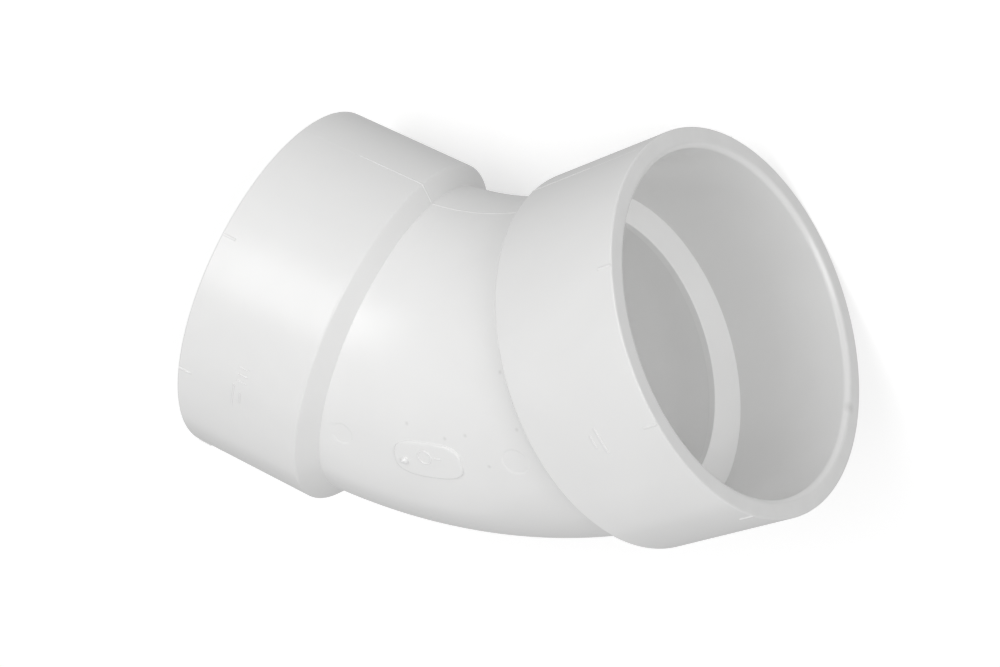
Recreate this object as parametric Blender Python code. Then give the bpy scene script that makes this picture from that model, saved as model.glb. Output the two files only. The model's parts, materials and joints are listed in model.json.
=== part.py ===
"""White PVC drainage elbow: a 45 degree bend with a solvent-weld pipe socket at each end.

The elbow lies on its side on the surface Z = 0. The plane of its bend is level, +Y points into the
inner corner of the bend, and the origin is below the middle of the bounding box. Metres, +Z up.

The real elbow is one moulding. Its zones are separate objects here, a small clearance apart: the
curved body, the two hubs, the two pipe stops inside them, and the raised gate pad.
"""

import math

import bmesh
import bpy

# Layout. A depth is measured into a hub along its axis, from the plane of its mouth.
HALF_TURN = math.radians(22.5)
CENTRE_TO_MOUTH = 0.0965  # from the point where the two hub axes cross
BEND_RADIUS = 0.1351  # of the body's centre line

# Hub, outside and inside. The socket takes a pipe of 114.3 mm, and tapers towards its floor.
HUB_RADIUS = 0.0640
HUB_LENGTH = 0.0472
SHOULDER_LENGTH = 0.0055
ENTRY_RADIUS = 0.0588
ENTRY_DEPTH = 0.0015
SOCKET_RADIUS = 0.0574
SOCKET_FLOOR_RADIUS = 0.0570
SOCKET_DEPTH = 0.04445

# Curved body and its waterway.
BODY_RADIUS = 0.0575
BORE_RADIUS = 0.0508
BODY_END_DEPTH = 0.0520

# Pipe stop: a cone from the socket floor in to a short round lip, a little off the hub's axis.
STOP_LIP_RADIUS = 0.0496
STOP_LIP_DEPTH = 0.0491
STOP_LIP_LAND = 0.0012
STOP_LIP_SHIFT = 0.0012
STOP_END_DEPTH = 0.0516

# Alignment ribs on the outside of each hub, by their angle round it from the top.
RIB_ANGLES = [math.radians(angle) for angle in (-135, -45, 0, 45, 135, 180)]
RIB_HEIGHT = 0.0003
RIB_WIDTH = 0.0007
RIB_START = 0.0008
RIB_LENGTH = 0.0050
RIB_ROOT = 0.0008  # how far a rib reaches into the hub

# Gate pad on top of the bend, with the stub that the moulding gate left on it.
PAD_LENGTH = 0.0250
PAD_WIDTH = 0.0138
PAD_THICKNESS = 0.0008
PAD_AROUND = math.radians(-3.15)
PAD_ALONG = math.radians(-0.25)
PAD_SQUARENESS = 3.0  # exponent of the pad's outline: 2 is an ellipse
GATE_OFFSET = (-0.0084, -0.0007)  # from the pad's middle, along the bend and across it
GATE_RADIUS = 0.0012
GATE_HEIGHT = 0.0015

CLEARANCE = 0.0003
SEGMENTS = 64  # round every ring
BEND_STEPS = 12
PAD_SEGMENTS = 32
PAD_RINGS = 4
GATE_SEGMENTS = 12
SHARP_ANGLE = math.radians(30)

# Where the axes cross, so that the bounding box is centred in Y and stands on Z = 0.
BEND_CENTRE_OFFSET = BEND_RADIUS / math.cos(HALF_TURN)
HEEL_Y = BEND_CENTRE_OFFSET - BEND_RADIUS - BODY_RADIUS
RIM_Y = CENTRE_TO_MOUTH * math.sin(HALF_TURN) + HUB_RADIUS * math.cos(HALF_TURN)
CROSSING_Y = -(HEEL_Y + RIM_Y) / 2
AXIS_HEIGHT = HUB_RADIUS + RIB_HEIGHT

RING_ANGLES = [2 * math.pi * step / SEGMENTS for step in range(SEGMENTS)]


def hub_point(side, depth, radius, around, shift=0.0):
    """A point of a hub: side is -1 or +1, around is from the top towards the inner corner."""
    along = CENTRE_TO_MOUTH - depth
    inward = radius * math.sin(around) + shift
    x = side * (along * math.cos(HALF_TURN) - inward * math.sin(HALF_TURN))
    y = along * math.sin(HALF_TURN) + inward * math.cos(HALF_TURN)
    return (x, CROSSING_Y + y, AXIS_HEIGHT + radius * math.cos(around))


def bend_point(radius, around, along):
    """A point of the curved body, at the angle along its centre line from the middle."""
    reach = BEND_RADIUS - radius * math.sin(around)
    x = reach * math.sin(along)
    y = BEND_CENTRE_OFFSET - reach * math.cos(along)
    return (x, CROSSING_Y + y, AXIS_HEIGHT + radius * math.cos(around))


def depth_and_radius(point):
    """Where a point on the +X side lies in that hub's own measure."""
    x, y, z = point[0], point[1] - CROSSING_Y, point[2] - AXIS_HEIGHT
    along = x * math.cos(HALF_TURN) + y * math.sin(HALF_TURN)
    inward = y * math.cos(HALF_TURN) - x * math.sin(HALF_TURN)
    return CENTRE_TO_MOUTH - along, math.hypot(inward, z)


def crease_angle(around):
    """How far along the bend the shoulder's cone meets the body."""
    low, high = 0.0, HALF_TURN
    slope = (HUB_RADIUS - BODY_RADIUS) / SHOULDER_LENGTH
    for _ in range(40):
        middle = (low + high) / 2
        depth, radius = depth_and_radius(bend_point(BODY_RADIUS, around, middle))
        if radius > HUB_RADIUS - slope * (depth - HUB_LENGTH):
            low = middle
        else:
            high = middle
    return low


def bore_end_angle(around):
    """How far along the bend the waterway's wall meets the plane of the body's end."""
    past_tangent = BODY_END_DEPTH - CENTRE_TO_MOUTH + BEND_RADIUS * math.tan(HALF_TURN)
    reach = BEND_RADIUS - BORE_RADIUS * math.sin(around)
    return HALF_TURN - math.asin(past_tangent / reach)


def hub_ring(side, depth, radius, shift=0.0):
    return [hub_point(side, depth, radius, around, shift) for around in RING_ANGLES]


def bend_ring(radius, share, end_angle):
    """A ring at a share of the way from the middle of the bend to its end."""
    return [bend_point(radius, around, share * end_angle(around)) for around in RING_ANGLES]


def pvc(name):
    material = bpy.data.materials.new(name)
    material.use_nodes = True
    shader = material.node_tree.nodes["Principled BSDF"]
    shader.inputs["Base Color"].default_value = (0.85, 0.85, 0.84, 1.0)
    shader.inputs["Roughness"].default_value = 0.35
    shader.inputs["Metallic"].default_value = 0.0
    return material


def finish(name, mesh_data):
    """Turns a bmesh into a named object with outward faces, soft shading and its own material."""
    bmesh.ops.recalc_face_normals(mesh_data, faces=mesh_data.faces)
    mesh = bpy.data.meshes.new(name)
    mesh_data.to_mesh(mesh)
    mesh_data.free()
    mesh.shade_smooth()
    mesh.set_sharp_from_angle(angle=SHARP_ANGLE)
    mesh.materials.append(pvc(name + "_pvc"))
    made = bpy.data.objects.new(name, mesh)
    bpy.context.scene.collection.objects.link(made)
    return made


def closed_rings(name, rings):
    """A ring-shaped solid: each ring of points is joined to the next, and the last to the first."""
    mesh_data = bmesh.new()
    loops = [[mesh_data.verts.new(point) for point in ring] for ring in rings]
    for first, second in zip(loops, loops[1:] + loops[:1]):
        for step in range(len(first)):
            after = (step + 1) % len(first)
            mesh_data.faces.new((first[step], first[after], second[after], second[step]))
    return finish(name, mesh_data)


def capped_rings(name, rings):
    """A solid from a stack of rings, with a flat face on the first and on the last."""
    mesh_data = bmesh.new()
    loops = [[mesh_data.verts.new(point) for point in ring] for ring in rings]
    for first, second in zip(loops, loops[1:]):
        for step in range(len(first)):
            after = (step + 1) % len(first)
            mesh_data.faces.new((first[step], first[after], second[after], second[step]))
    mesh_data.faces.new(loops[0])
    mesh_data.faces.new(loops[-1])
    return finish(name, mesh_data)


def fuse(target, tool):
    """Joins a small feature to its piece, and hides the tool."""
    union = target.modifiers.new("Fuse " + tool.name, "BOOLEAN")
    union.operation = "UNION"
    union.solver = "EXACT"
    union.object = tool
    tool.hide_render = True
    tool.display_type = "WIRE"


def make_rib(side, around, name):
    """A short bar along the hub's outside, for lining up two fittings."""
    half_angle = RIB_WIDTH / 2 / HUB_RADIUS
    corners = []
    for depth in (RIB_START, RIB_START + RIB_LENGTH):
        inner, outer = HUB_RADIUS - RIB_ROOT, HUB_RADIUS + RIB_HEIGHT
        corners.append([
            hub_point(side, depth, inner, around - half_angle),
            hub_point(side, depth, outer, around - half_angle),
            hub_point(side, depth, outer, around + half_angle),
            hub_point(side, depth, inner, around + half_angle),
        ])
    return capped_rings(name, corners)


def make_hub(name, side):
    crease = []
    for around in RING_ANGLES:
        crease.append(bend_point(BODY_RADIUS, around, side * crease_angle(around)))
    hub = closed_rings(name, [
        hub_ring(side, 0.0, ENTRY_RADIUS),
        hub_ring(side, 0.0, HUB_RADIUS),
        hub_ring(side, HUB_LENGTH, HUB_RADIUS),
        crease,
        hub_ring(side, SOCKET_DEPTH, SOCKET_FLOOR_RADIUS),
        hub_ring(side, ENTRY_DEPTH, SOCKET_RADIUS),
    ])
    for count, around in enumerate(RIB_ANGLES, 1):
        fuse(hub, make_rib(side, around, f"{name}_rib_{count}"))
    return hub


def make_stop(name, side):
    outside = SOCKET_FLOOR_RADIUS - CLEARANCE
    land_end = STOP_LIP_DEPTH + STOP_LIP_LAND
    return closed_rings(name, [
        hub_ring(side, SOCKET_DEPTH, outside),
        hub_ring(side, STOP_LIP_DEPTH, STOP_LIP_RADIUS, STOP_LIP_SHIFT),
        hub_ring(side, land_end, STOP_LIP_RADIUS, STOP_LIP_SHIFT),
        hub_ring(side, STOP_END_DEPTH, BORE_RADIUS),
        hub_ring(side, STOP_END_DEPTH, outside),
    ])


def make_body():
    def outer_end(around):
        return crease_angle(around) - CLEARANCE / (BEND_RADIUS - BODY_RADIUS)

    shares = [2 * step / BEND_STEPS - 1 for step in range(BEND_STEPS + 1)]
    outer = [bend_ring(BODY_RADIUS, share, outer_end) for share in shares]
    inner = [bend_ring(BORE_RADIUS, share, bore_end_angle) for share in reversed(shares)]
    return closed_rings("bend_body", outer + inner)


def pad_point(height, along, across):
    """A point above the body, by its distance along the bend and across it from the pad's middle."""
    around = PAD_AROUND + across / BODY_RADIUS
    return bend_point(BODY_RADIUS + height, around, PAD_ALONG + along / BEND_RADIUS)


def pad_ring(height, share):
    """The pad's outline, a rounded oval, shrunk to a share of its size."""
    points = []
    for step in range(PAD_SEGMENTS):
        angle = 2 * math.pi * step / PAD_SEGMENTS
        power = 2 / PAD_SQUARENESS
        cosine, sine = math.cos(angle), math.sin(angle)
        along = math.copysign(abs(cosine) ** power, cosine) * PAD_LENGTH / 2
        across = math.copysign(abs(sine) ** power, sine) * PAD_WIDTH / 2
        points.append(pad_point(height, share * along, share * across))
    return points


def gate_ring(height):
    points = []
    for step in range(GATE_SEGMENTS):
        angle = 2 * math.pi * step / GATE_SEGMENTS
        along = GATE_OFFSET[0] + GATE_RADIUS * math.cos(angle)
        across = GATE_OFFSET[1] + GATE_RADIUS * math.sin(angle)
        points.append(pad_point(height, along, across))
    return points


def make_gate_pad():
    top = CLEARANCE + PAD_THICKNESS
    shares = [ring / PAD_RINGS for ring in range(1, PAD_RINGS + 1)]
    under = [pad_ring(CLEARANCE, share) for share in shares]
    upper = [pad_ring(top, share) for share in reversed(shares)]
    pad = capped_rings("gate_pad", under + upper)
    stub = capped_rings("gate_stub", [
        gate_ring(CLEARANCE + PAD_THICKNESS / 2),
        gate_ring(top + GATE_HEIGHT),
    ])
    fuse(pad, stub)
    return pad


def main():
    for old in list(bpy.data.objects):
        bpy.data.objects.remove(old, do_unlink=True)
    make_body()
    for name, side in (("a", -1), ("b", 1)):
        make_hub("hub_" + name, side)
        make_stop("pipe_stop_" + name, side)
    make_gate_pad()


main()
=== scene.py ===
"""Looks of the white PVC drainage elbow: fine surfaces, moulding marks, material and studio.

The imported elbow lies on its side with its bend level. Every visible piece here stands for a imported
node, follows its sizes, and rides on the one body, root.
"""

import json
import math

import bmesh
import bpy
import numpy as np
from mathutils import Matrix, Vector


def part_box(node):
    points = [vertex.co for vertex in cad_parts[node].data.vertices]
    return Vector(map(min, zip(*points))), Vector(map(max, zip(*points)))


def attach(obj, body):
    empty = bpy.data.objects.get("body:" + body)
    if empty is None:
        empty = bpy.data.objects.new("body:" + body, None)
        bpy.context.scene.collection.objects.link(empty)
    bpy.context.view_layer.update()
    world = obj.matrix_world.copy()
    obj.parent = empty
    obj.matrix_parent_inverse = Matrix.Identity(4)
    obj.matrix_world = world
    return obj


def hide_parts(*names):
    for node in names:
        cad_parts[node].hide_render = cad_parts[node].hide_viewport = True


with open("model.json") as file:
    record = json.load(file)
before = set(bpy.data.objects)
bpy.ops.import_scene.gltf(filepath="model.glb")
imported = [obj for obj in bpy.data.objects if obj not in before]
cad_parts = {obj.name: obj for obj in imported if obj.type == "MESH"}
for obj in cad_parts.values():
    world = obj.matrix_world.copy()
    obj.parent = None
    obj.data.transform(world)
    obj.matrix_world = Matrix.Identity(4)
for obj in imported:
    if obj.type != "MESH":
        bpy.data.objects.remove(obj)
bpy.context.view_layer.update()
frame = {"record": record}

MM = 0.001
DEGREE = math.pi / 180

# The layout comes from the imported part: its two mouth faces and the height of its hubs.
MOUNTS = {mount["name"]: mount for mount in frame["record"]["mounts"]}
MOUTH_B = Vector(MOUNTS["hub_b_mouth_face"]["pos_m"])
AXIS_B = Vector(MOUNTS["hub_b_mouth_face"]["axis"])
HUB_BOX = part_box("hub_b")
AXIS_HEIGHT = (HUB_BOX[0].z + HUB_BOX[1].z) / 2
HALF_TURN = math.atan2(AXIS_B.y, AXIS_B.x)
CENTRE_TO_MOUTH = MOUTH_B.x / AXIS_B.x
CROSSING = Vector((0.0, MOUTH_B.y - CENTRE_TO_MOUTH * AXIS_B.y, AXIS_HEIGHT))

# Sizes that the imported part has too. A depth is measured into a hub from its mouth.
HUB_RADIUS = 64.0 * MM
HUB_LENGTH = 47.2 * MM
SHOULDER_LENGTH = 5.5 * MM
ENTRY_RADIUS = 58.8 * MM
ENTRY_DEPTH = 1.5 * MM
SOCKET_RADIUS = 57.4 * MM
SOCKET_FLOOR_RADIUS = 57.0 * MM
SOCKET_DEPTH = 44.45 * MM
BODY_RADIUS = 57.5 * MM
BORE_RADIUS = 50.8 * MM
BEND_RADIUS = 135.1 * MM
STOP_LIP_RADIUS = 49.6 * MM
STOP_LIP_DEPTH = 49.1 * MM
STOP_LIP_SHIFT = 1.2 * MM
STOP_END_DEPTH = 51.6 * MM
PAD_LENGTH = 25.0 * MM
PAD_WIDTH = 13.8 * MM
PAD_AROUND = -3.15 * DEGREE
PAD_ALONG = -0.25 * DEGREE
PAD_SQUARENESS = 3.0
PAD_HEIGHT = 0.8 * MM
GATE_ALONG = -8.4 * MM
GATE_ACROSS = -0.7 * MM
GATE_RADIUS = 1.2 * MM
GATE_HEIGHT = 1.5 * MM

BEND_CENTRE_OFFSET = BEND_RADIUS / math.cos(HALF_TURN)
SHOULDER_SLOPE = (HUB_RADIUS - BODY_RADIUS) / SHOULDER_LENGTH
OVERLAP = 2.0 * MM  # how far a piece runs on, out of sight, inside its neighbour


# Points on the moulding

def hub_points(side, depth, radius, around, shift=0.0):
    """Points of a hub. Around is measured from the top towards the inner corner of the bend."""
    along = CENTRE_TO_MOUTH - depth
    inward = radius * np.sin(around) + shift
    x = side * (along * math.cos(HALF_TURN) - inward * math.sin(HALF_TURN))
    y = along * math.sin(HALF_TURN) + inward * math.cos(HALF_TURN)
    z = radius * np.cos(around)
    return np.stack(np.broadcast_arrays(x, CROSSING.y + y, CROSSING.z + z), axis=-1)


def bend_points(radius, around, along, shift=0.0):
    """Points of the curved body, at an angle along its centre line from the middle."""
    reach = BEND_RADIUS - radius * np.sin(around) - shift
    x = reach * np.sin(along)
    y = BEND_CENTRE_OFFSET - reach * np.cos(along)
    z = radius * np.cos(around)
    return np.stack(np.broadcast_arrays(x, CROSSING.y + y, CROSSING.z + z), axis=-1)


def bend_end_angle(radius, around, depth):
    """How far along the bend its skin meets the plane at a depth in the hub."""
    past_tangent = depth - CENTRE_TO_MOUTH + BEND_RADIUS * math.tan(HALF_TURN)
    return HALF_TURN - np.arcsin(past_tangent / (BEND_RADIUS - radius * np.sin(around)))


def crease_angle(around):
    """How far along the bend the shoulder's cone meets the body."""
    low, high = 0.0, HALF_TURN
    for _ in range(40):
        middle = (low + high) / 2
        point = bend_points(BODY_RADIUS, around, middle) - np.array(CROSSING)
        depth = CENTRE_TO_MOUTH - point[0] * math.cos(HALF_TURN) - point[1] * math.sin(HALF_TURN)
        inward = point[1] * math.cos(HALF_TURN) - point[0] * math.sin(HALF_TURN)
        if math.hypot(inward, point[2]) > HUB_RADIUS - SHOULDER_SLOPE * (depth - HUB_LENGTH):
            low = middle
        else:
            high = middle
    return low


def hub_skin(side):
    """Maps (arc length round the hub from its top, depth, height) to a point."""
    def point(across, depth, height):
        return hub_points(side, depth, HUB_RADIUS + height, across / HUB_RADIUS)
    return point


def shoulder_skin(side):
    """The same on the shoulder's cone, where the second measure runs down its slant."""
    slant = math.hypot(1.0, SHOULDER_SLOPE)

    def point(across, down, height):
        depth = HUB_LENGTH + down / slant + height * SHOULDER_SLOPE / slant
        radius = HUB_RADIUS - down * SHOULDER_SLOPE / slant + height / slant
        return hub_points(side, depth, radius, across / HUB_RADIUS)
    return point


def body_skin(across, along, height):
    """The same on the curved body, where along is an arc length of its centre line."""
    return bend_points(BODY_RADIUS + height, across / BODY_RADIUS, along / BEND_RADIUS)


# Building meshes

class Shape:
    """Points and faces gathered for one mesh, as closed skins that may overlap."""

    def __init__(self):
        self.points = []
        self.faces = []

    def add_rings(self, rings, joined=False):
        """A skin over a stack of rings. It closes on itself, or has a cap at each end."""
        start = len(self.points)
        rings = np.asarray(rings, float)
        rows, columns = rings.shape[:2]
        self.points.extend(rings.reshape(-1, 3).tolist())
        index = start + np.arange(rows * columns).reshape(rows, columns)
        after = np.roll(index, -1, axis=1)
        below = np.roll(index, -1, axis=0)
        below_after = np.roll(after, -1, axis=0)
        quads = np.stack([index, after, below_after, below], axis=-1)
        if not joined:
            quads = quads[:-1]
            self.faces.append(index[0].tolist())
            self.faces.append(index[-1].tolist())
        self.faces.extend(quads.reshape(-1, 4).tolist())

    def add_bead(self, skin, path, width, height, joined=False):
        """A low rounded bead on a skin, along a path in that skin's own two measures."""
        path = np.asarray(path, float)
        if joined:
            ahead = np.roll(path, -1, axis=0) - np.roll(path, 1, axis=0)
        else:
            ahead = np.gradient(path, axis=0)
        ahead /= np.linalg.norm(ahead, axis=1, keepdims=True)
        sideways = np.stack([-ahead[:, 1], ahead[:, 0]], axis=1)
        outline = [(-0.5, -1.0), (-0.5, 0.25), (-0.38, 0.75), (-0.15, 1.0)]
        outline += [(-across, up) for across, up in reversed(outline)]
        rings = []
        for spot, side in zip(path, sideways):
            ring = []
            for across, up in outline:
                place = spot + side * across * width
                ring.append(skin(place[0], place[1], up * height))
            rings.append(ring)
        self.add_rings(rings, joined)

    def make(self, name):
        mesh = bpy.data.meshes.new(name)
        mesh.from_pydata(self.points, [], self.faces)
        work = bmesh.new()
        work.from_mesh(mesh)
        bmesh.ops.recalc_face_normals(work, faces=work.faces)
        work.to_mesh(mesh)
        work.free()
        mesh.shade_smooth()
        mesh.set_sharp_from_angle(angle=35 * DEGREE)
        made = bpy.data.objects.new(name, mesh)
        bpy.context.scene.collection.objects.link(made)
        return made


def rounded_outline(corners, steps=5, guard=0.35 * MM):
    """A closed outline through (depth, radius, size) corners, each rounded off over its size."""
    outline = []
    places = [np.array(corner[:2]) for corner in corners]
    for count, (depth, radius, size) in enumerate(corners):
        here = places[count]
        to_last = places[count - 1] - here
        to_next = places[(count + 1) % len(places)] - here
        to_last /= np.linalg.norm(to_last)
        to_next /= np.linalg.norm(to_next)
        if size == 0:
            outline.append(here)
            continue
        first, last = here + to_last * size, here + to_next * size
        outline.append(here + to_last * (size + guard))
        for step in range(steps + 1):
            share = step / steps
            bend = (1 - share) ** 2 * first + 2 * share * (1 - share) * here + share ** 2 * last
            outline.append(bend)
        outline.append(here + to_next * (size + guard))
    return np.array(outline)


def even_angles(count):
    return np.arange(count) * 2 * math.pi / count


def angles_with_detail(coarse_step, zones):
    """Angles all the way round, with (start, end, step) zones that are more finely spaced."""
    angles = list(np.arange(-math.pi, math.pi - coarse_step / 2, coarse_step))
    for start, end, step in zones:
        angles = [angle for angle in angles if not start - step < angle < end + step]
        angles += list(np.linspace(start, end, round((end - start) / step) + 1))
    return np.array(sorted(angles))


def soft_step(distance, edge):
    """1 inside, 0 outside, with a smooth change over the edge, from a signed distance."""
    share = np.clip(0.5 - distance / edge, 0, 1)
    return share * share * (3 - 2 * share)


# The hubs

RIB_ANGLES = (-135, -45, 0, 45, 135, 180)
RIB_START, RIB_END = 0.4 * MM, 5.3 * MM  # depths
RIB_WIDTH = 0.9 * MM
RIB_HEIGHT = 0.28 * MM
PARTING_WIDTH = 0.45 * MM
PARTING_HEIGHT = 0.10 * MM
FAINT_START, FAINT_END = 4.0 * MM, 23.0 * MM  # depths between which a hub's parting line is faint
DASH_WIDTH, DASH_HEIGHT = 0.7 * MM, 0.28 * MM
MARK_DEPTH = 22.0 * MM


def line(start, end, count):
    return np.linspace(start, end, count)


def circle(centre, radius, count=40):
    turns = even_angles(count)
    return np.stack([centre[0] + radius * np.cos(turns), centre[1] + radius * np.sin(turns)], axis=1)


def add_hub_marks(shape, side):
    """Plain raised dashes where a fitting carries its size mark and data line."""
    skin = hub_skin(side)
    long_dash = line((-4.6 * MM, MARK_DEPTH), (4.6 * MM, MARK_DEPTH), 12)
    shape.add_bead(skin, long_dash, DASH_WIDTH, DASH_HEIGHT)
    second_row = MARK_DEPTH + 2.8 * MM
    short_dash = line((-2.0 * MM, second_row), (2.4 * MM, second_row), 8)
    shape.add_bead(skin, short_dash, DASH_WIDTH, DASH_HEIGHT)
    if side < 0:
        for count in range(3):
            start = (6.6 + 2.6 * count) * MM
            dash = line((start, second_row - 2.2 * MM), (start, second_row + 1.6 * MM), 8)
            shape.add_bead(skin, dash, 0.5 * MM, 0.22 * MM)


def add_hub_parting_line(shape, side):
    """The thin witness of the mould's joint, on the inner and outer sides of the hub."""
    for quarter in (90, -90):
        across = quarter * DEGREE * HUB_RADIUS
        faint = line((across, FAINT_START), (across, FAINT_END), 10)
        shape.add_bead(hub_skin(side), faint, 0.35 * MM, 0.03 * MM)
        clear = line((across, FAINT_END), (across, HUB_LENGTH), 10)
        shape.add_bead(hub_skin(side), clear, PARTING_WIDTH, 0.12 * MM)
        slant = math.hypot(SHOULDER_LENGTH, HUB_RADIUS - BODY_RADIUS)
        down = line((across, -0.1 * MM), (across, slant), 6)
        shape.add_bead(shoulder_skin(side), down, PARTING_WIDTH, PARTING_HEIGHT)


def make_hub(name, side):
    shape = Shape()
    bottom = SOCKET_DEPTH + OVERLAP
    inside = SOCKET_FLOOR_RADIUS - OVERLAP
    tail = HUB_LENGTH + (HUB_RADIUS - inside) / SHOULDER_SLOPE
    taper = (SOCKET_RADIUS - SOCKET_FLOOR_RADIUS) / (SOCKET_DEPTH - ENTRY_DEPTH)
    outline = rounded_outline([
        (0.0, ENTRY_RADIUS, 0.7 * MM),
        (0.0, HUB_RADIUS, 0.6 * MM),
        (HUB_LENGTH, HUB_RADIUS, 0.6 * MM),
        (tail, inside, 0),
        (bottom, inside, 0),
        (bottom, SOCKET_FLOOR_RADIUS - OVERLAP * taper, 0),
        (ENTRY_DEPTH, SOCKET_RADIUS, 0.6 * MM),
    ])
    around = even_angles(240)
    shape.add_rings([hub_points(side, depth, radius, around) for depth, radius in outline], True)
    for rib in RIB_ANGLES:
        across = rib * DEGREE * HUB_RADIUS
        path = line((across, RIB_START), (across, RIB_END), 8)
        shape.add_bead(hub_skin(side), path, RIB_WIDTH, RIB_HEIGHT)
    add_hub_parting_line(shape, side)
    add_hub_marks(shape, side)
    return shape.make(name)


# The pipe stops

def make_stop(name, side):
    """A smooth ring from the socket's floor in to the lip, and back behind it."""
    shape = Shape()
    around = even_angles(240)
    face_slope = (STOP_LIP_DEPTH - SOCKET_DEPTH) / (SOCKET_FLOOR_RADIUS - STOP_LIP_RADIUS)
    outside = SOCKET_FLOOR_RADIUS + 0.3 * MM
    front = SOCKET_DEPTH - 0.3 * MM * face_slope
    outline = rounded_outline([
        (front, outside, 0),
        (STOP_LIP_DEPTH, STOP_LIP_RADIUS, 0.15 * MM),
        (STOP_END_DEPTH, STOP_LIP_RADIUS + 0.15 * MM, 0),
        (STOP_END_DEPTH, outside, 0),
    ])
    span = outside - STOP_LIP_RADIUS
    rings = []
    for depth, radius in outline:
        share = (outside - radius) / span
        rings.append(hub_points(side, depth, radius, around, STOP_LIP_SHIFT * share))
    shape.add_rings(rings, True)
    return shape.make(name)


# The curved body

EJECTOR_MARKS = ((-33.0, -1.2, 3.9), (31.9, -3.2, 4.6))  # along, across and radius, in millimetres
EJECTOR_DEPTH = 0.22 * MM
# The bead on the heel stops short of the heel's middle, the elbow's furthest point.
HEEL_GAP = 7.0 * MM  # along the centre line, which is 10 mm along the heel's skin
SPECKS = (
    (16.1, 7.1), (7.6, 5.7), (-7.0, 9.5), (37.6, 7.8), (21.5, -4.3), (36.8, 26.6),
)  # pits on top of the body. Each place here is a distance along it and across it, in millimetres


def body_relief(across, along):
    """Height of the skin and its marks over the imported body, which it stays just inside of."""
    height = np.full(np.broadcast(across, along).shape, -0.01 * MM)
    for mark_along, mark_across, radius in EJECTOR_MARKS:
        distance = np.hypot(across - mark_across * MM, along - mark_along * MM)
        height -= EJECTOR_DEPTH * soft_step(distance - radius * MM, 0.45 * MM)
    for speck_along, speck_across in SPECKS:
        distance = np.hypot(across - speck_across * MM, along - speck_along * MM)
        height -= 0.12 * MM * np.exp(-(distance / (0.45 * MM)) ** 2)
    return height


def bore_rings(around):
    """The waterway. Near each end it eases in to the lip of the pipe stop."""
    lip_radius = STOP_LIP_RADIUS + 0.3 * MM
    end = bend_end_angle(lip_radius, around, STOP_END_DEPTH - 1.6 * MM)
    rings = []
    for share in np.linspace(1, -1, 61):
        to_end = (1 - abs(share)) * np.min(end) * BEND_RADIUS
        ease = soft_step(to_end - 7 * MM, 14 * MM)
        radius = BORE_RADIUS + (lip_radius - BORE_RADIUS) * ease
        rings.append(bend_points(radius, around, share * end, 0.9 * MM * ease))
    return rings


def make_body(name):
    shape = Shape()
    around = angles_with_detail(2.0 * DEGREE, [(-12 * DEGREE, 14 * DEGREE, 0.3 * DEGREE)])
    end = bend_end_angle(BODY_RADIUS, around, SOCKET_DEPTH + 2 * OVERLAP)
    fine = np.linspace(-0.8, 0.8, 241)
    edge = np.linspace(0.8, 1.0, 9)[1:]
    rings = []
    for share in np.concatenate([-edge[::-1], fine, edge]):
        along = share * end
        relief = body_relief(around * BODY_RADIUS, along * BEND_RADIUS)
        rings.append(bend_points(BODY_RADIUS + relief, around, along))
    shape.add_rings(rings + bore_rings(around), True)
    inner = crease_angle(90 * DEGREE) * BEND_RADIUS
    heel = crease_angle(-90 * DEGREE) * BEND_RADIUS
    stretches = ((90, -inner, inner), (-90, -heel, -HEEL_GAP), (-90, HEEL_GAP, heel))
    for quarter, start, end in stretches:
        across = quarter * DEGREE * BODY_RADIUS
        path = line((across, start), (across, end), 48)
        shape.add_bead(body_skin, path, PARTING_WIDTH, PARTING_HEIGHT)
    return shape.make(name)


# The gate pad

def make_gate_pad(name):
    """The raised oval pad, a plain ring and bar on it, and the stub that the gate left."""
    shape = Shape()
    turns = even_angles(72)
    power = 2 / PAD_SQUARENESS
    cosines, sines = np.cos(turns), np.sin(turns)
    along = np.sign(cosines) * np.abs(cosines) ** power * PAD_LENGTH / 2
    across = np.sign(sines) * np.abs(sines) ** power * PAD_WIDTH / 2
    middle = (PAD_AROUND * BODY_RADIUS, PAD_ALONG * BEND_RADIUS)

    def pad_ring(height, inset):
        share_along = 1 - inset / (PAD_LENGTH / 2)
        share_across = 1 - inset / (PAD_WIDTH / 2)
        return body_skin(middle[0] + across * share_across, middle[1] + along * share_along, height)

    wall = [(-0.4, -0.1), (0.1, 0.0), (0.4, 0.08), (0.6, 0.22), (0.72, 0.42), (0.78, 0.7), (0.8, 1.0)]
    rings = [pad_ring(height * MM, inset * MM) for height, inset in wall]
    rings += [pad_ring(PAD_HEIGHT, inset * MM) for inset in (1.4, 2.2, 3.5, 5.0, 6.5)]
    shape.add_rings(rings)

    def pad_skin(spot_across, spot_along, height):
        return body_skin(middle[0] + spot_across, middle[1] + spot_along, PAD_HEIGHT + height)

    shape.add_bead(pad_skin, circle((1.6 * MM, -0.8 * MM), 2.4 * MM), 0.6 * MM, 0.3 * MM, True)
    bar = line((1.6 * MM, 3.0 * MM), (1.6 * MM, 5.2 * MM), 10)
    shape.add_bead(pad_skin, bar, 0.6 * MM, 0.3 * MM)
    stub = []
    turn = even_angles(24)
    for rise, share in ((-0.3, 1.0), (0.45, 0.97), (0.7, 0.85), (0.87, 0.62), (0.95, 0.35), (0.97, 0.1)):
        wobble = 1 + 0.06 * np.sin(3 * turn + 1.0) + 0.03 * np.sin(7 * turn)
        spot_across = GATE_ACROSS + share * GATE_RADIUS * wobble * np.cos(turn)
        spot_along = GATE_ALONG + share * GATE_RADIUS * wobble * np.sin(turn)
        torn = GATE_HEIGHT * rise * (1 + 0.12 * np.cos(turn + 0.6))
        stub.append(pad_skin(spot_across, spot_along, torn))
    shape.add_rings(stub)
    return shape.make(name)


# Material

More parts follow.
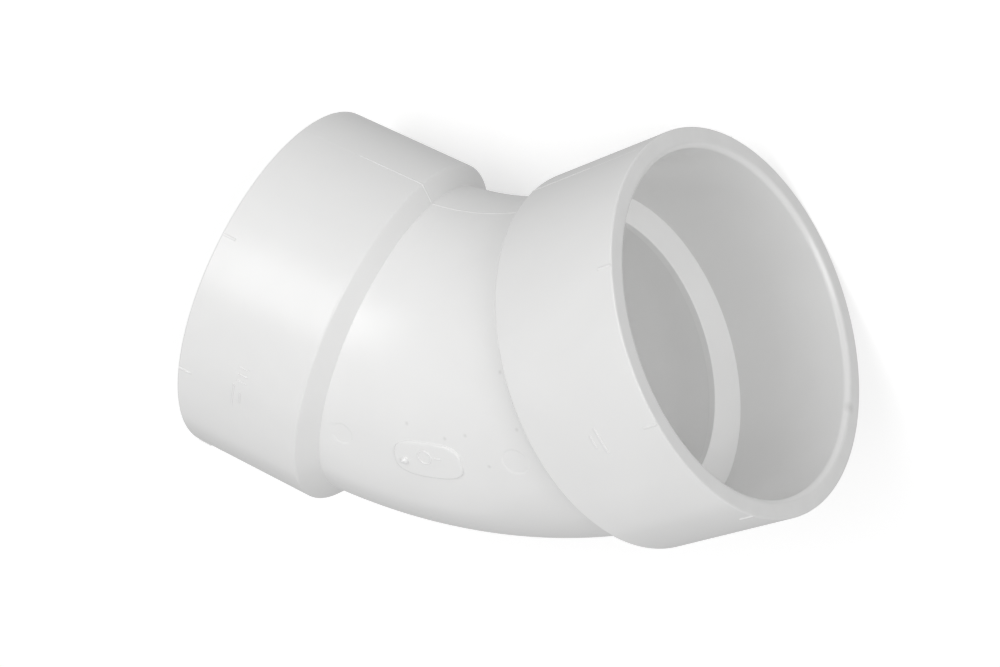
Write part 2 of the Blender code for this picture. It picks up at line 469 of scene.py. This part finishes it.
PVC_WHITE = (0.89, 0.89, 0.885)
BODY_WHITE = (0.915, 0.915, 0.91)
# Painted light: the stop rings are a lighter white than the hubs of the same PVC, standing in for more
# light falling on them.
STOP_PAINTED_LIGHT_WHITE = (0.96, 0.96, 0.955)
# Painted shade: the grey that darkens the mouth faces of the hubs.
PAINTED_SHADE_GREY = (0.78, 0.78, 0.775, 1.0)
SPECK_GREY = (0.20, 0.19, 0.18, 1.0)
GRAIN = 0.10  # strength of the skin's fine bump
SKIN_ROUGHNESS = 0.225
STOP_ROUGHNESS = 0.235


def pvc_material(name, white, roughness, specks=(), painted_shade_faces=()):
    """Moulded white PVC: faint flow shade, uneven gloss and a fine skin.

    Specks are (place, radius, darkness). Shaded faces are (a point on the face, its outward axis); each
    gets painted shade, a thin grey layer at the face.
    """
    material = bpy.data.materials.new(name)
    material.use_nodes = True
    nodes, links = material.node_tree.nodes, material.node_tree.links
    shader = nodes["Principled BSDF"]
    shader.inputs["IOR"].default_value = 1.53
    shader.inputs["Metallic"].default_value = 0.0
    place = nodes.new("ShaderNodeTexCoord")

    def noise(scale, detail, distortion=0.0):
        made = nodes.new("ShaderNodeTexNoise")
        made.inputs["Scale"].default_value = scale
        made.inputs["Detail"].default_value = detail
        made.inputs["Distortion"].default_value = distortion
        links.new(place.outputs["Object"], made.inputs["Vector"])
        return made.outputs["Fac"]

    def remap(value, low, high, start=0.3, end=0.7):
        made = nodes.new("ShaderNodeMapRange")
        made.inputs["From Min"].default_value = start
        made.inputs["From Max"].default_value = end
        made.inputs["To Min"].default_value = low
        made.inputs["To Max"].default_value = high
        links.new(value, made.inputs["Value"])
        return made.outputs["Result"]

    shade = nodes.new("ShaderNodeMix")
    shade.data_type = "RGBA"
    shade.inputs["A"].default_value = (*white, 1.0)
    shade.inputs["B"].default_value = (*(0.965 * part for part in white), 1.0)
    links.new(remap(noise(22, 4, 0.6), 0.0, 1.0), shade.inputs["Factor"])

    def tint(under, tint_colour, amount):
        made = nodes.new("ShaderNodeMix")
        made.data_type = "RGBA"
        made.inputs["B"].default_value = tint_colour
        links.new(amount, made.inputs["Factor"])
        links.new(under, made.inputs["A"])
        return made.outputs["Result"]

    colour = shade.outputs["Result"]
    # Painted shade: the face and the first half millimetre behind it are tinted grey, in a faint mottle.
    for middle, outward in painted_shade_faces:
        inward = nodes.new("ShaderNodeVectorMath")
        inward.operation = "SUBTRACT"
        inward.inputs[0].default_value = middle
        links.new(place.outputs["Object"], inward.inputs[1])
        depth = nodes.new("ShaderNodeVectorMath")
        depth.operation = "DOT_PRODUCT"
        depth.inputs[1].default_value = outward
        links.new(inward.outputs["Vector"], depth.inputs[0])
        painted_shade = nodes.new("ShaderNodeMath")
        painted_shade.operation = "MULTIPLY"
        links.new(remap(depth.outputs["Value"], 1.0, 0.0, 0.1 * MM, 0.5 * MM), painted_shade.inputs[0])
        links.new(remap(noise(160, 4), 0.7, 1.0), painted_shade.inputs[1])
        colour = tint(colour, PAINTED_SHADE_GREY, painted_shade.outputs["Value"])
    for spot, radius, darkness in specks:
        apart = nodes.new("ShaderNodeVectorMath")
        apart.operation = "DISTANCE"
        apart.inputs[1].default_value = spot
        links.new(place.outputs["Object"], apart.inputs[0])
        colour = tint(colour, SPECK_GREY, remap(apart.outputs["Value"], darkness, 0.0, 0.0, radius))
    links.new(colour, shader.inputs["Base Color"])

    gloss = nodes.new("ShaderNodeMath")
    gloss.operation = "ADD"
    links.new(remap(noise(60, 5), roughness - 0.02, roughness + 0.015), gloss.inputs[0])
    links.new(remap(noise(9, 2, 1.5), 0.0, 0.02, 0.56, 0.72), gloss.inputs[1])
    links.new(gloss.outputs["Value"], shader.inputs["Roughness"])

    skin = nodes.new("ShaderNodeMath")
    skin.operation = "MULTIPLY_ADD"
    skin.inputs[1].default_value = 0.35
    links.new(noise(1900, 2), skin.inputs[0])
    links.new(noise(420, 3), skin.inputs[2])
    bump = nodes.new("ShaderNodeBump")
    bump.inputs["Strength"].default_value = GRAIN
    bump.inputs["Distance"].default_value = 0.05 * MM
    links.new(skin.outputs["Value"], bump.inputs["Height"])
    links.new(bump.outputs["Normal"], shader.inputs["Normal"])
    return material


# Studio

FLOOR_RADIUS = 12.0  # metres


def make_floor():
    """A wide pale sheet under the elbow. It glows, but bounced and mirrored rays pass it by."""
    mesh = bpy.data.meshes.new("floor")
    work = bmesh.new()
    bmesh.ops.create_circle(work, cap_ends=True, segments=96, radius=FLOOR_RADIUS)
    work.to_mesh(mesh)
    work.free()
    floor = bpy.data.objects.new("floor", mesh)
    bpy.context.scene.collection.objects.link(floor)
    material = bpy.data.materials.new("floor_white")
    material.use_nodes = True
    shader = material.node_tree.nodes["Principled BSDF"]
    shader.inputs["Base Color"].default_value = (0.93, 0.93, 0.93, 1.0)
    shader.inputs["Roughness"].default_value = 0.9
    shader.inputs["Specular IOR Level"].default_value = 0.1
    shader.inputs["Emission Color"].default_value = (1.0, 1.0, 1.0, 1.0)
    shader.inputs["Emission Strength"].default_value = FLOOR_GLOW
    mesh.materials.append(material)
    floor.visible_diffuse = False
    floor.visible_glossy = False


def make_softbox(name, azimuth, elevation, size, power, distance=1.3):
    """A square area light that faces the elbow. Azimuth 0 is on the -Y side, 90 on +X."""
    data = bpy.data.lights.new(name, "AREA")
    data.shape = "SQUARE"
    data.size = size
    data.energy = power
    turn, rise = azimuth * DEGREE, elevation * DEGREE
    away = Vector((
        math.sin(turn) * math.cos(rise), -math.cos(turn) * math.cos(rise), math.sin(rise),
    ))
    light = bpy.data.objects.new(name, data)
    light.location = CROSSING + away * distance
    light.rotation_mode = "QUATERNION"
    light.rotation_quaternion = away.to_track_quat("Z", "Y")
    bpy.context.scene.collection.objects.link(light)
    return light


SOFTBOXES = (
    ("key_wide", 190, 48, 0.85, 2.4),
    ("key_core", 194, 49, 0.5, 1.2),
    ("overhead", 172, 76, 0.6, 1.25),
    ("mouth_side", 112, 35, 0.6, 3.2),
    ("mouth_low", 112, 18, 0.6, 0.75),
    ("inner_side", 170, 30, 0.8, 0.65),
    ("heel_right", 0, 18, 0.9, 0.9),
    ("heel_left", 315, 18, 0.9, 0.85),
)  # name, azimuth and elevation in degrees, size in metres, power in watts
WORLD_STRENGTH = 0.49
FLOOR_GLOW = 0.32


def make_world():
    world = bpy.data.worlds.new("studio")
    world.use_nodes = True
    background = world.node_tree.nodes["Background"]
    background.inputs["Color"].default_value = (1.0, 1.0, 1.0, 1.0)
    background.inputs["Strength"].default_value = WORLD_STRENGTH
    bpy.context.scene.world = world


VIEW_AZIMUTH = 132.558
VIEW_ELEVATION = 47.508
VIEW_ROLL = -135.497
VIEW_DISTANCE = 0.7513
VIEW_AIM = Vector((-7.04, 18.75, -6.86)) * MM  # from the point where the hub axes cross
LENS = 78.818
SENSOR = 36.0


def make_camera():
    data = bpy.data.cameras.new("camera")
    data.lens = LENS
    data.sensor_width = SENSOR
    data.clip_start = 0.01
    camera = bpy.data.objects.new("camera", data)
    turn, rise = VIEW_AZIMUTH * DEGREE, VIEW_ELEVATION * DEGREE
    back = Vector((
        math.sin(turn) * math.cos(rise), -math.cos(turn) * math.cos(rise), math.sin(rise),
    ))
    level = Vector((0, 0, 1)).cross(back).normalized()
    right = Matrix.Rotation(VIEW_ROLL * DEGREE, 3, back) @ level
    turned = Matrix((right, back.cross(right), back)).transposed()
    camera.matrix_world = Matrix.Translation(CROSSING + VIEW_AIM + back * VIEW_DISTANCE) @ turned.to_4x4()
    bpy.context.scene.collection.objects.link(camera)
    bpy.context.scene.camera = camera


def add_piece(piece, node, material):
    piece.data.materials.append(material)
    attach(piece, "root")
    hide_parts(node)


def main():
    make_camera()
    rim_spot = hub_points(1, 0.1 * MM, 59.1 * MM, -120 * DEGREE)
    mouths = [(mount["pos_m"], mount["axis"]) for mount in MOUNTS.values()]
    smudge = [(rim_spot, 2.6 * MM, 0.22)]
    # The mouth faces get painted shade on the hub material.
    hub_pvc = pvc_material("hub_pvc_looks", PVC_WHITE, SKIN_ROUGHNESS, smudge, mouths)
    for letter, side in (("a", -1), ("b", 1)):
        add_piece(make_hub("hub_shell_" + letter, side), "hub_" + letter, hub_pvc)
    # The stop rings' lighter white is painted light.
    stop_pvc = pvc_material("stop_pvc_looks", STOP_PAINTED_LIGHT_WHITE, STOP_ROUGHNESS)
    for letter, side in (("a", -1), ("b", 1)):
        add_piece(make_stop("stop_ring_" + letter, side), "pipe_stop_" + letter, stop_pvc)
    specks = [(body_skin(across * MM, along * MM, 0.0), 0.9 * MM, 0.2) for along, across in SPECKS]
    body_pvc = pvc_material("body_pvc_looks", BODY_WHITE, SKIN_ROUGHNESS, specks)
    add_piece(make_body("body_shell"), "bend_body", body_pvc)
    pad_pvc = pvc_material("pad_pvc_looks", BODY_WHITE, STOP_ROUGHNESS)
    add_piece(make_gate_pad("gate_pad_plate"), "gate_pad", pad_pvc)
    make_floor()
    make_world()
    for name, azimuth, elevation, size, power in SOFTBOXES:
        make_softbox(name, azimuth, elevation, size, power)
    bpy.context.scene.view_settings.view_transform = "Standard"


main()
